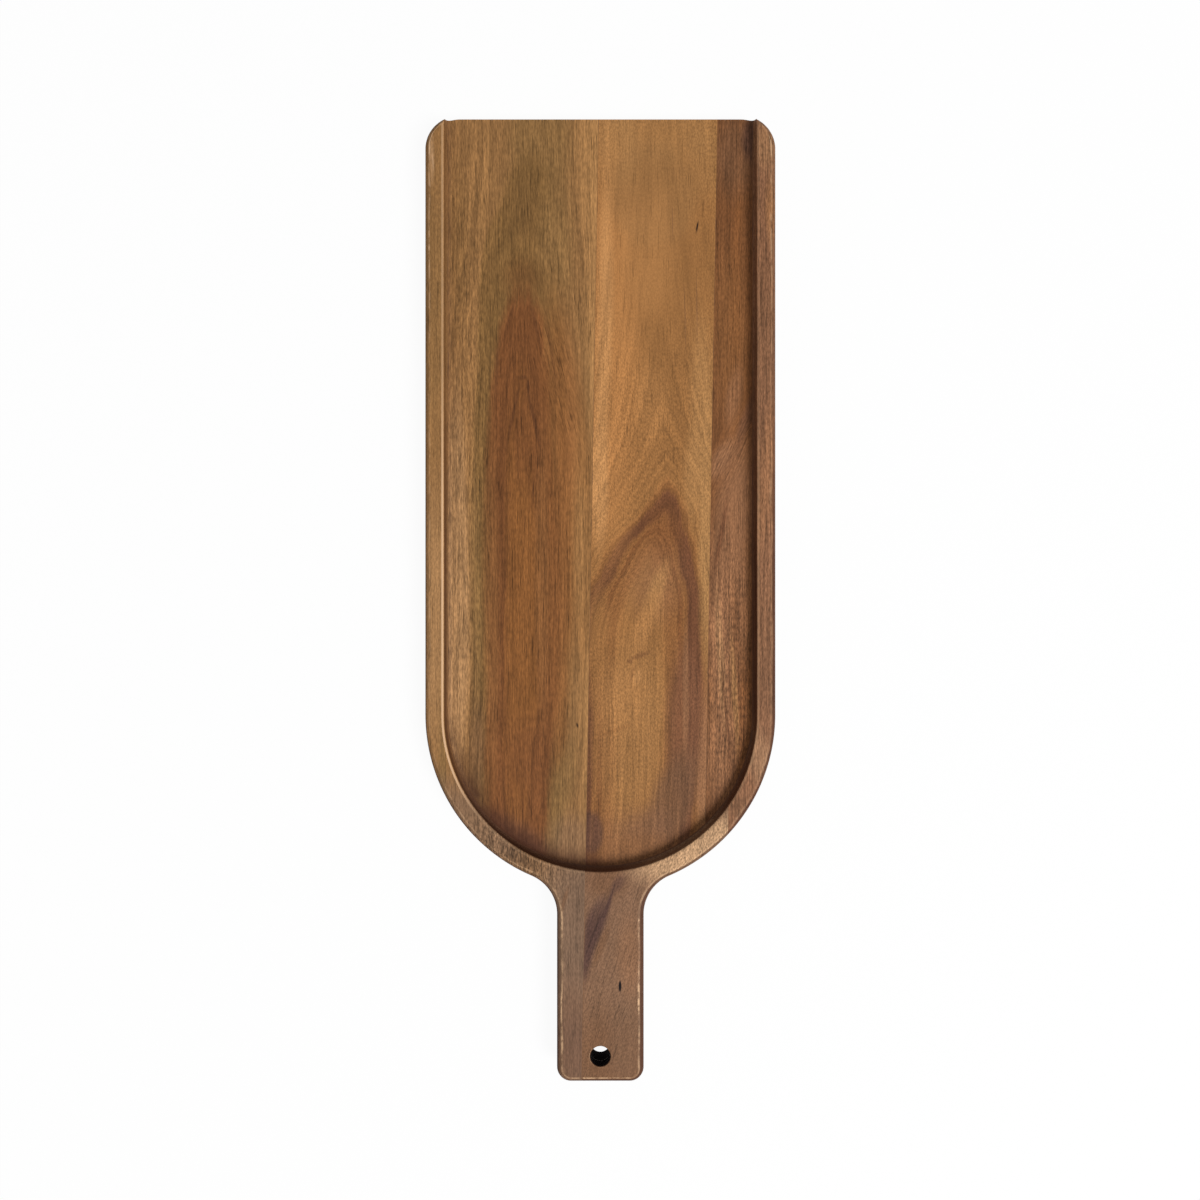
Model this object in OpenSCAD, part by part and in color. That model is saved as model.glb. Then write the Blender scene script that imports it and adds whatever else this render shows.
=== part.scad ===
// Paddle serving board: a base panel of three edge-glued staves, and over it a
// U-shaped top panel of three more, which makes the raised rim and the handle.
// The tray between the rims is routed after gluing, a little way into the base.
// The board lies flat: +Z is up, +Y points to the open end, -Y to the handle.

/* [Head] */
// Width across the head
board_w = 200; // [170:1:260]
// Length of the straight sides, from the open end to the centre of the round end
side_len = 343; // [220:1:460]
// Radius of the two corners at the open end
open_corner_r = 19; // [12:1:40]
// Radius of the rounding along the outer edges
edge_r = 3; // [1:0.5:5]

/* [Handle] */
// Width of the handle
handle_w = 49.5; // [40:0.5:70]
// Distance from the centre of the round end to the tip of the handle
handle_reach = 209; // [190:1:280]
// Radius of the fillets between the round end and the handle
neck_r = 24; // [10:1:35]
// Radius of the two corners at the tip of the handle
handle_corner_r = 8; // [6:1:16]

/* [Hanging hole] */
// Diameter of the hole
hole_d = 11.5; // [6:0.5:18]
// Distance from the centre of the hole to the tip of the handle
hole_inset = 15; // [12:0.5:30]
// Width of the eased edge around both mouths of the hole
hole_ease = 0.6; // [0.2:0.1:1.5]

/* [Panels] */
// Thickness of the base panel
base_t = 11; // [9:0.5:16]
// Thickness of the top panel
top_t = 6.8; // [6:0.2:12]
// Thickness of every glue film
film_t = 0.2; // [0.1:0.05:0.4]

/* [Tray] */
// Width of the raised rim
rim_w = 11; // [8:0.5:20]
// Depth that the tray is routed into the base panel
rout_d = 1; // [0.5:0.25:2]
// Radius of the cove where the floor turns up into the rim
cove_r = 4; // [2.5:0.5:6]
// Width of the eased inner edge of the rim
rim_ease = 1; // [0.4:0.1:2]

/* [Staves] */
// Lean of the glued joints away from the long axis, in degrees
joint_lean = 1; // [0:0.1:1.5]
// Place of the left joint across the board at mid-length, the same in both panels
left_joint_x = -5.8; // [-10:0.1:-3]
// Width of the right-hand base stave at mid-length
base_right_w = 37.2; // [25:0.1:60]
// Width of the right-hand top stave at mid-length
top_right_w = 25; // [22:0.5:45]

/* [Hidden] */
$fn = 96;
past = 5; // how far every cutter runs past the faces that it cuts
board_t = base_t + film_t + top_t;

// Lengthwise places, with the origin halfway along the board
open_end_y = (side_len + handle_reach) / 2;
arc_y = open_end_y - side_len;
handle_end_y = arc_y - handle_reach;

// The round end, and the neck fillets that run into it and into the sides of the handle
head_r = board_w / 2;
neck_x = handle_w / 2 + neck_r;
neck_drop = sqrt(pow(head_r + neck_r, 2) - pow(neck_x, 2));
neck_angle = atan(neck_drop / neck_x);
neck_centre = [neck_x, arc_y - neck_drop];
open_corner = [head_r - open_corner_r, open_end_y - open_corner_r];
tip_corner = [handle_w / 2 - handle_corner_r, handle_end_y + handle_corner_r];

// Flats that make up the outline's arcs and its rounded edges
head_steps = 24;
corner_steps = 9;
turn_steps = 4;

// The tray
tray_r = head_r - rim_w;
floor_z = base_t - rout_d;

// Each layer is its lowest height, its thickness and the face with the rounded edge
base_layer = [0, base_t, "bottom"];
film_layer = [base_t, film_t, "none"];
top_layer = [base_t + film_t, top_t, "top"];

// Joints between the staves, across the board at mid-length
base_right_x = head_r - base_right_w;
top_right_x = head_r - top_right_w;
half_film = film_t / 2;

module both_sides() {
    children();
    mirror([1, 0, 0]) children();
}

// Points of an arc cut into equal steps, from the step called first to its far end
function arc_points(centre, radius, from, to, steps, first = 0) = [
    for (step = [first:steps])
        let (angle = from + (to - from) * step / steps)
        centre + radius * [cos(angle), sin(angle)]
];

// Right half of the outline, from the open end to the handle's tip, drawn in by inset.
// A fillet starts where the round end stops, so its own first point is left out.
function half_outline(inset) = concat(
    arc_points(open_corner, open_corner_r - inset, 90, 0, corner_steps),
    arc_points([0, arc_y], head_r - inset, 0, -neck_angle, head_steps),
    arc_points(neck_centre, neck_r + inset, 180 - neck_angle, 180, corner_steps, first = 1),
    arc_points(tip_corner, handle_corner_r - inset, 0, -90, corner_steps)
);

// Whole outline at one height, clockwise from above
function outline_ring(inset, z) =
    let (half = half_outline(inset), last = len(half) - 1)
    concat(
        [for (point = half) [point.x, point.y, z]],
        [for (i = [last:-1:0]) [-half[i].x, half[i].y, z]]
    );

// Inset and height of each ring around a rounded edge, upwards from a bottom edge
// that starts at -90 degrees or from a top edge that starts at 0
function edge_rings(z, start) = [
    for (step = [0:turn_steps])
        let (angle = start + step * 90 / turn_steps)
        [edge_r - edge_r * cos(angle), z + edge_r * sin(angle)]
];

// Inset and height of every ring of one layer, from its lowest to its highest
function layer_rings(layer) =
    let (low = layer[0], high = layer[0] + layer[1], rounded = layer[2])
    concat(
        rounded == "bottom" ? edge_rings(low + edge_r, -90) : [[0, low]],
        rounded == "top" ? edge_rings(high - edge_r, 0) : [[0, high]]
    );

// Whole outline of the board in one layer, lofted through its rings
module paddle(layer) {
    rings = layer_rings(layer);
    count = 2 * len(half_outline(0));
    points = [for (ring = rings) each outline_ring(ring[0], ring[1])];
    top_start = (len(rings) - 1) * count;
    sides = [
        for (ring = [0:len(rings) - 2], i = [0:count - 1])
            let (low = ring * count, high = low + count, next = (i + 1) % count)
            [low + next, high + next, high + i, low + i]
    ];
    caps = [
        for (i = [0:count / 2 - 2])
            let (across = count - 1 - i)
            each [
                [across, across - 1, i + 1, i],
                [top_start + i, top_start + i + 1, top_start + across - 1, top_start + across]
            ]
    ];
    polyhedron(points, concat(sides, caps));
}

// Space between two leaning joint planes, given by their places at mid-length
module stave_space(left_x, right_x) {
    reach = open_end_y + past;
    lean = reach * tan(joint_lean);
    translate([0, 0, -past])
        linear_extrude(board_t + 2 * past)
        polygon([
            [left_x - lean, -reach], [right_x - lean, -reach],
            [right_x + lean, reach], [left_x + lean, reach]
        ]);
}

// Half section of the tray: flat floor, cove, upright wall and eased rim edge
module tray_section() {
    ease_z = board_t - rim_ease;
    top_z = board_t + past;
    translate([0, floor_z]) square([tray_r - cove_r, top_z - floor_z]);
    translate([0, floor_z + cove_r]) square([tray_r, top_z - floor_z - cove_r]);
    translate([tray_r - cove_r, floor_z + cove_r]) circle(cove_r);
    polygon([[0, ease_z], [tray_r, ease_z], [tray_r + rim_ease + past, top_z], [0, top_z]]);
}

module tray() {
    translate([0, open_end_y + past, 0])
        rotate([90, 0, 0])
        linear_extrude(side_len + past)
        both_sides() tray_section();
    translate([0, arc_y, 0])
        rotate([0, 0, 180])
        rotate_extrude(angle = 180)
        tray_section();
}

module hanging_hole() {
    hole_r = hole_d / 2;
    translate([0, handle_end_y + hole_inset, 0]) {
        translate([0, 0, -past]) cylinder(h = board_t + 2 * past, r = hole_r);
        translate([0, 0, -past])
            cylinder(h = past + hole_ease, r1 = hole_r + hole_ease + past, r2 = hole_r);
        translate([0, 0, board_t - hole_ease])
            cylinder(h = past + hole_ease, r1 = hole_r, r2 = hole_r + hole_ease + past);
    }
}

// The part of one layer between two joint planes, with the tray and the hole cut
module panel_piece(layer, left_x, right_x) {
    difference() {
        intersection() {
            paddle(layer);
            stave_space(left_x, right_x);
        }
        tray();
        hanging_hole();
    }
}

module joint_film(layer, joint_x) {
    panel_piece(layer, joint_x - half_film, joint_x + half_film);
}

module base_left_stave() {
    color("peru") panel_piece(base_layer, -board_w, left_joint_x - half_film);
}

module base_centre_stave() {
    color("burlywood") panel_piece(base_layer, left_joint_x + half_film, base_right_x - half_film);
}

module base_right_stave() {
    color("saddlebrown") panel_piece(base_layer, base_right_x + half_film, board_w);
}

// Left rim, the left part of the round end and the left part of the handle
module top_left_rail() {
    color("tan") panel_piece(top_layer, -board_w, left_joint_x - half_film);
}

// Middle of the round end and the wide part of the handle, with the hole
module top_handle_block() {
    color("sandybrown") panel_piece(top_layer, left_joint_x + half_film, top_right_x - half_film);
}

// Right rim with its turn into the round end
module top_right_rail() {
    color("sienna") panel_piece(top_layer, top_right_x + half_film, board_w);
}

module base_left_glue() {
    color("darkgoldenrod") joint_film(base_layer, left_joint_x);
}

module base_right_glue() {
    color("darkgoldenrod") joint_film(base_layer, base_right_x);
}

module top_left_glue() {
    color("darkgoldenrod") joint_film(top_layer, left_joint_x);
}

module top_right_glue() {
    color("darkgoldenrod") joint_film(top_layer, top_right_x);
}

// Film between the two panels, all the way under the rim and the handle
module panel_glue() {
    color("goldenrod") panel_piece(film_layer, -board_w, board_w);
}

base_left_stave();
base_centre_stave();
base_right_stave();
top_left_rail();
top_handle_block();
top_right_rail();
base_left_glue();
base_right_glue();
top_left_glue();
top_right_glue();
panel_glue();
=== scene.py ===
"""Paddle serving board: six pieces of oiled wood and the glue films that hold them."""

import math
from dataclasses import dataclass

import bmesh
import bpy
from bpy.props import FloatProperty, FloatVectorProperty, PointerProperty
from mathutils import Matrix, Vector, noise


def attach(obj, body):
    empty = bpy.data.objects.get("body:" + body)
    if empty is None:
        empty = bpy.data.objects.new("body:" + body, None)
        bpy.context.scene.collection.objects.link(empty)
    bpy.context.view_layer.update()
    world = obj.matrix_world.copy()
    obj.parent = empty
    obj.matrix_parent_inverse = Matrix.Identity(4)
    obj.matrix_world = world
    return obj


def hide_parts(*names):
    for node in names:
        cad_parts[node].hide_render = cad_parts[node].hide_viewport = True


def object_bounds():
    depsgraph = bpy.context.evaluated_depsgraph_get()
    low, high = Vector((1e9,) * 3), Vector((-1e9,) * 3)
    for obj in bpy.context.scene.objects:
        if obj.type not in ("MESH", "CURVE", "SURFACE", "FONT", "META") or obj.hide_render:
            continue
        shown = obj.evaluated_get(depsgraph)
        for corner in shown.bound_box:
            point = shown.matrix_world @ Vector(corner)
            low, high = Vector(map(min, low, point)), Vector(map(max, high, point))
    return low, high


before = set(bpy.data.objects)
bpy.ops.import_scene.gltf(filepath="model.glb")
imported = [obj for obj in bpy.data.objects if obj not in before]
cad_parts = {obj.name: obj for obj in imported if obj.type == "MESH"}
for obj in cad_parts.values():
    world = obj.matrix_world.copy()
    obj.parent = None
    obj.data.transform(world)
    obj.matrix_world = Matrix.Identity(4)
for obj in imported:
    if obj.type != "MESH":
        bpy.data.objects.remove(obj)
CAD_LOW, CAD_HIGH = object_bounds()

bl_info = {
    "name": "Paddle Serving Board",
    "version": (1, 0, 0),
    "blender": (4, 5, 0),
    "location": "View3D > Sidebar > Board",
    "description": "Builds a paddle serving board from glued staves, and a plain stage for it",
    "category": "Add Mesh",
}

MM = 0.001
PER_MM = 1000
BODY = "root"

# Steps that make up the round parts
CORNER_STEPS = 20
HEAD_STEPS = 48
TIP_STEPS = 16
TRAY_STEPS = 96
HOLE_STEPS = 64
EDGE_STEPS = 8
COVE_STEPS = 10

# Eased edges: the turn in degrees, the width as a share of the rounding, and the fall of the worn crest
EASING_TURN = 62
EASED_SHARE = 0.9
CREST_SLOPE = 0.2

# Sanding by hand: the share by which a rounding varies, its count per metre and its place in the noise
SANDING = 0.25
SANDING_COUNT = 60
SANDING_PLACE = 3.7

# Cutting: how far cutters run past the board, which points merge, and which corners stay sharp
PAST = 5 * MM
MERGED = 0.002 * MM
SLIVER = 0.001 * MM
SHARP_FROM = 13

# Noises: count per millimetre along each axis, detail and roughness
WANDER = ((0.03, 0.008, 0.03), 3.0, 0.5)
RUFFLE = ((0.2, 0.02, 0.2), 5.0, 0.75)
FEATHER = ((0.9, 0.03, 0.9), 2.0, 0.6)
RING_LINES = ((0.55, 0.008, 0), 4.0, 0.7)
STREAKS = ((1.1, 0.035, 1.1), 3.0, 0.6)
PORES = ((1.3, 0.055, 1.3), 1.0, 0.5)
BLOTCHES = ((0.07, 0.03, 0.07), 2.0, 0.5)
SCUFFS = ((0.25, 0.12, 0.25), 4.0, 0.7)
STRETCHES = ((0.035, 0.03, 0.035), 1.0, 0.5)
# Noise that frays the smoky scorch and painted shade along the tray's round end
SMOKE_AND_SHADE = ((0.12, 0.12, 0.2), 4.0, 0.65)
MOTTLE = ((0.4, 0.05, 0.4), 3.0, 0.6)

# Dashes of the grain: count per millimetre across the board, then detail and roughness
DASH_COUNT = 1.6
DASH_ROUGH = (1.5, 0.6)

# Values that a noise mostly lies between, how its number moves it along each axis, and the step
# of that number from one piece to the next
NOISE_RANGE = (0.28, 0.72)
SHIFT_SHARES = (1.0, 0.7, 1.3)
SEED_STEP = 10.0

# Most that a noise moves the grain, the rings and the border of the smoky scorch and painted shade, in
# millimetres
WANDER_MOST = 3.0
RUFFLE_MOST = 3.0
FEATHER_MOST = 1.5
SMOKE_AND_SHADE_MOST = 5.0

# Fades by place on the board, in millimetres: where they start and end, and the strength at both
# The smoke along the round end, the dark line on the wall and the dark band in the left cove are partly
# router scorch and partly painted shade in the crease and painted shadow of the rim
SMOKE_AND_SHADE_ALONG = (-55, -120, 0.12, 0.8)
SMOKE_AND_SHADE_ACROSS = (-20, 40, 1.0, 0.35)
LINE_ALONG = (190, 20, 0.15, 0.75)
COVE_ACROSS = (20, -20, 0, 0.3)
# The pale crests are partly worn and partly a painted highlight, and the pale inner lip is a painted
# highlight
HANDLE_WEAR_AND_HIGHLIGHT = (-150, -190, 0.35, 1.0)
OPEN_END_WEAR_AND_HIGHLIGHT = (150, 240, 0.35, 1.0)
LIP_FROM_OPEN_END = (150, 40, 0.4, 1.0)
LIP_TO_ROUND_END = (-130, -95, 0.15, 1.0)
WORN_AND_HIGHLIGHT_HEIGHT = (13.0, 16.5)

# Fades by how far the surface faces up, from -1 to 1
# The sides get painted shade between SIDE_FROM_TOP and SIDE_FROM_BELOW
SIDE_FROM_TOP = (0.96, 0.91)
SIDE_FROM_BELOW = (-0.6, -0.2)
NOT_LEVEL = (0.998, 0.99)
NOT_BELOW = (-0.95, -0.5)
# The crests, partly worn and partly a painted highlight, lie between CREST_SLOPES, and the lip's painted
# highlight lies between LIP_SLOPES
CREST_SLOPES = (0.9, 0.94)
LIP_SLOPES = (0.72, 0.88)

# Fades by the value of a noise
OPEN_PORES = (0.62, 0.7)
SCUFFED = (0.42, 0.58, 0.12, 1.0)
STRETCHED = (0.4, 0.6, 0.5, 1.0)
OILED = (0.2, 0.8, 0.66, 0.5)
GLUE_SHEEN = (0.2, 0.8, 0.7, 0.5)

# Distances from the tray's wall and the hole's, in millimetres; those by the wall bound the scorch and
# painted shade there, and the hole's bounds the painted shade inside it
SMOKE_AND_SHADE_WIDTH = 13
LINE_FADE = 1.2
COVE_FADE = (3.6, 2)
RIM_MIDDLE = (2.0, 3.5)
HOLE_FADE = 0.2

# Ovals end at this share of their size, and this scale along Z takes them through the whole board
OVAL_END = 1.15
THROUGH = 1e6

# Strengths of the blotches, the painted shade on the sides and the relief of pores and dashes
BLOTCH_SHADE = 0.05
SIDE_PAINTED_SHADE = 0.15
PORE_RELIEF = -0.8
DASH_RELIEF = 0.6
RELIEF_DEPTH = 0.12 * MM

# Scorch and painted shade on the tray's wall: how far below the rim they stop, how much further below the
# lip's painted highlight, and how far in they reach
SCORCH_AND_SHADE_CLEAR = 0.2
LIP_CLEAR = 0.7
SCORCH_AND_SHADE_IN = 2.3

# Stage: direction of the key light, gap under the board, and the camera's place off the middle
KEY_FROM = (0.65, -0.55, 1.0)
FLOOR_GAP = 0.1 * MM
VIEW_SHIFT = (-0.2 * MM, -1.4 * MM)
SENSOR_WIDTH = 36


def linear(hex_code):
    """Linear red, green and blue of a colour written as six hexadecimal digits."""
    parts = [int(hex_code[i:i + 2], 16) / 255 for i in (0, 2, 4)]
    return tuple(c / 12.92 if c <= 0.04045 else ((c + 0.055) / 1.055) ** 2.4 for c in parts)


def length(name, description, value):
    return FloatProperty(name=name, description=description, default=value, unit="LENGTH", precision=4)


def colour(name, description, hex_code):
    return FloatVectorProperty(
        name=name, description=description, default=linear(hex_code), subtype="COLOR", min=0, max=1
    )


class BoardSizes(bpy.types.PropertyGroup):
    """Sizes of the board, the same as those of its solids"""

    width: length("Width", "Width across the head", CAD_HIGH.x - CAD_LOW.x)
    open_end: length("Open end", "Distance from the middle to the open end", CAD_HIGH.y)
    handle_end: length("Handle end", "Distance from the middle to the tip of the handle", -CAD_LOW.y)
    thickness: length("Thickness", "Thickness of the board at the rim", CAD_HIGH.z)
    side: length("Straight side", "Length of the straight sides", 343 * MM)
    open_corner: length("Open corner", "Radius of the corners at the open end", 19 * MM)
    edge: length("Edge rounding", "Radius of the rounding along the outer edges", 3 * MM)
    handle_width: length("Handle width", "Width of the handle", 49.5 * MM)
    neck: length("Neck fillet", "Radius of the fillets beside the handle", 24 * MM)
    handle_corner: length("Handle corner", "Radius of the corners at the tip of the handle", 8 * MM)
    hole: length("Hole", "Diameter of the hanging hole", 11.5 * MM)
    hole_inset: length("Hole inset", "Distance from the hole's centre to the tip", 15 * MM)
    hole_ease: length("Hole ease", "Width of the eased edge around the hole", 0.6 * MM)
    base: length("Base panel", "Thickness of the base panel", 11 * MM)
    film: length("Glue film", "Thickness of the glue films", 0.2 * MM)
    rim: length("Rim width", "Width of the raised rim", 11 * MM)
    rout: length("Rout depth", "Depth that the tray is routed into the base", 1 * MM)
    cove: length("Cove", "Radius where the floor turns up into the rim", 4 * MM)
    rim_ease: length("Rim ease", "Width of the eased inner edge of the rim", 1 * MM)
    crest: length("Worn crest", "Width of the worn line along the eased edges", 0.8 * MM)
    lean: FloatProperty(
        name="Joint lean",
        description="Lean of the glued joints away from the long axis",
        default=math.radians(1),
        subtype="ANGLE",
    )
    left_joint: length("Left joint", "Place of the left joint at mid-length", -5.8 * MM)
    base_right_joint: length("Base right joint", "Place of the right joint in the base", 62.8 * MM)
    top_right_joint: length("Top right joint", "Place of the right joint in the top", 75 * MM)
    spacing: length("Point spacing", "Distance between points along straight edges", 4 * MM)


class BoardColours(bpy.types.PropertyGroup):
    """Colours of the wood and of the stage"""

    tan: colour("Tan", "Plain wood of the left stave", "986E43")
    pale: colour("Pale", "Palest streaks", "B4885C")
    gold: colour("Gold", "Light golden wood", "AE7F4E")
    golden: colour("Golden", "Bright heart of the centre stave", "B7814D")
    orange: colour("Orange", "Warm side of the centre stave", "B87F4A")
    honey: colour("Honey", "Bright strip beside the left joint", "C18B56")
    amber: colour("Amber", "Plain wood of the centre stave", "9C6C3E")
    brown: colour("Brown", "Brown between the dark rings", "8F5F36")
    copper: colour("Copper", "Red-brown beside the heart of the left stave", "8D5A31")
    sepia: colour("Sepia", "Faint ring of the centre stave", "82532F")
    purple: colour("Purple brown", "Dark ring of the centre stave", "6F462D")
    mauve: colour("Mauve", "Dull bands of the centre stave and the handle", "7D5238")
    heart: colour("Heart", "Red-brown heart of the left stave", "7A4C2A")
    heart_core: colour("Heart core", "Middle of the red-brown heart", "88572D")
    heart_dark: colour("Dark heart", "Dark lines inside the heart", "5E3A22")
    olive: colour("Olive", "Olive brown around the heart", "7F5D35")
    grey_olive: colour("Grey olive", "Greyish bands", "8B683E")
    umber: colour("Umber", "Greyish dark brown", "7A563C")
    russet: colour("Russet", "Red-brown of the right stave", "7B4F2E")
    rose: colour("Rose brown", "Pinkish brown of the right rail", "8A6044")
    grey_brown: colour("Grey brown", "Greyish brown of the handle's left part", "80644F")
    handle: colour("Handle brown", "Plain wood of the handle", "87644B")
    clay: colour("Clay", "Pinkish tan of the right stave", "976948")
    cream: colour("Cream", "Pale wood beside the handle", "C59D76")
    # Pale wood of the worn edges, which also paints the highlight on the crests and on the inner lip
    worn_and_painted_highlight: colour("Worn", "Bare wood along the worn edges", "DDB48C")
    # Dark colour in the tray's crease, cove and round end: partly router scorch, partly painted shade
    burn_and_painted_shade: colour("Burn", "Scorch that the router left in the cove", "4A2A1D")
    plum: colour("Plum", "Dark streaks of the handle and the floor", "563C35")
    # Dark flecks in the wood, and the painted shade on the hole's wall
    ink_and_hole_shade: colour("Ink", "Dark flecks and the wall of the hole", "170E10")
    glue: colour("Glue", "Dried glue in the joints", "7A5230")
    floor: colour("Floor", "Pale floor that the board lies on", "F4F4F4")


class BoardStage(bpy.types.PropertyGroup):
    """Camera, light and floor"""

    view_height: length("Camera height", "Height of the camera above the rim", 525 * MM)
    view_span: length("View span", "Width that the picture spans at the rim", 682.3 * MM)
    floor_size: length("Floor size", "Width of the floor", 8.0)
    key_size: length("Key size", "Width of the key light", 1.75)
    key_distance: length("Key distance", "Distance of the key light from the board", 4.0)
    key_watts: FloatProperty(
        name="Key light", description="Power of the key light", default=134, unit="POWER"
    )
    ambient: FloatProperty(name="Ambient", description="Strength of the light from all round", default=0.36)
    floor_glow: FloatProperty(
        name="White floor",
        description="Share of the floor's own white that the camera sees over its shadow",
        default=0.94,
        subtype="FACTOR",
    )


@dataclass(frozen=True)
class Patch:
    """Soft oval of another colour: centre, half sizes and lean, in millimetres and degrees.

    blur is the share of the half sizes over which the colour fades.
    """

    x: float
    y: float
    half_width: float
    half_length: float
    lean: float
    colour: str
    amount: float
    blur: float = 0.85


@dataclass(frozen=True)
class Oval:
    """Soft oval in which the grain changes, placed and faded as a patch is."""

    x: float
    y: float
    half_width: float
    half_length: float
    lean: float
    amount: float = 1.0
    blur: float = 0.85


@dataclass(frozen=True)
class Figure:
    """Growth rings and grain of one piece, in millimetres.

    across and depth give the line of the pith along the board: its place from the
    middle line and its depth below the tray floor. rings gives the colour at each
    distance from the pith. point makes the ends of the rings round at 2 and pointed
    at 1. ring_lines, short_grain, long_grain and pores are how much the fine rings,
    the dashes of dash_length, the long streaks and the open pores change the colour.
    coarse is an oval of stronger grain, or of calmer grain if its amount is below 0.
    twists are ovals in which the fine grain leans. The lip amount is how strongly the inner
    lip of the rim is painted with a pale highlight, the crest amount is how pale the outer
    edges are, partly worn and partly a painted highlight, and the scorch amount is how far in
    the tray's wall is dark, partly router scorch and partly painted shade.
    """

    across: tuple
    depth: tuple
    rings: tuple
    patches: tuple
    ring_lines: float
    dash_length: float
    short_grain: float
    long_grain: float
    pores: float
    point: float = 2.0
    coarse: Oval = None
    twists: tuple = ()
    painted_lip_highlight: float = 0.0
    crest: float = 0.0
    scorch_and_painted_shade: float = SCORCH_AND_SHADE_IN


@dataclass(frozen=True)
class Piece:
    """One piece of the board: its layer and the joints on its left and right."""

    node: str
    slot: str
    layer: str
    left: str
    right: str


BASE_STAVES = (
    Piece("base_left_stave", "base_left_wood", "base", "edge", "left_joint"),
    Piece("base_centre_stave", "base_centre_wood", "base", "left_joint", "base_right_joint"),
    Piece("base_right_stave", "base_right_wood", "base", "base_right_joint", "edge"),
)
TOP_PIECES = (
    Piece("top_left_rail", "left_rail_wood", "top", "edge", "left_joint"),
    Piece("top_handle_block", "handle_wood", "top", "left_joint", "top_right_joint"),
    Piece("top_right_rail", "right_rail_wood", "top", "top_right_joint", "edge"),
)
GLUE_FILMS = (
    Piece("base_left_glue", "glue", "base", "left_joint", "left_joint"),
    Piece("base_right_glue", "glue", "base", "base_right_joint", "base_right_joint"),
    Piece("top_left_glue", "glue", "top", "left_joint", "left_joint"),
    Piece("top_right_glue", "glue", "top", "top_right_joint", "top_right_joint"),
    Piece("panel_glue", "glue", "film", "edge", "edge"),
)

HOLED_NODES = ("base_centre_stave", "top_handle_block", "panel_glue")

STRAIGHT_DEPTH = ((-275, 30), (275, 30))

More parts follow.
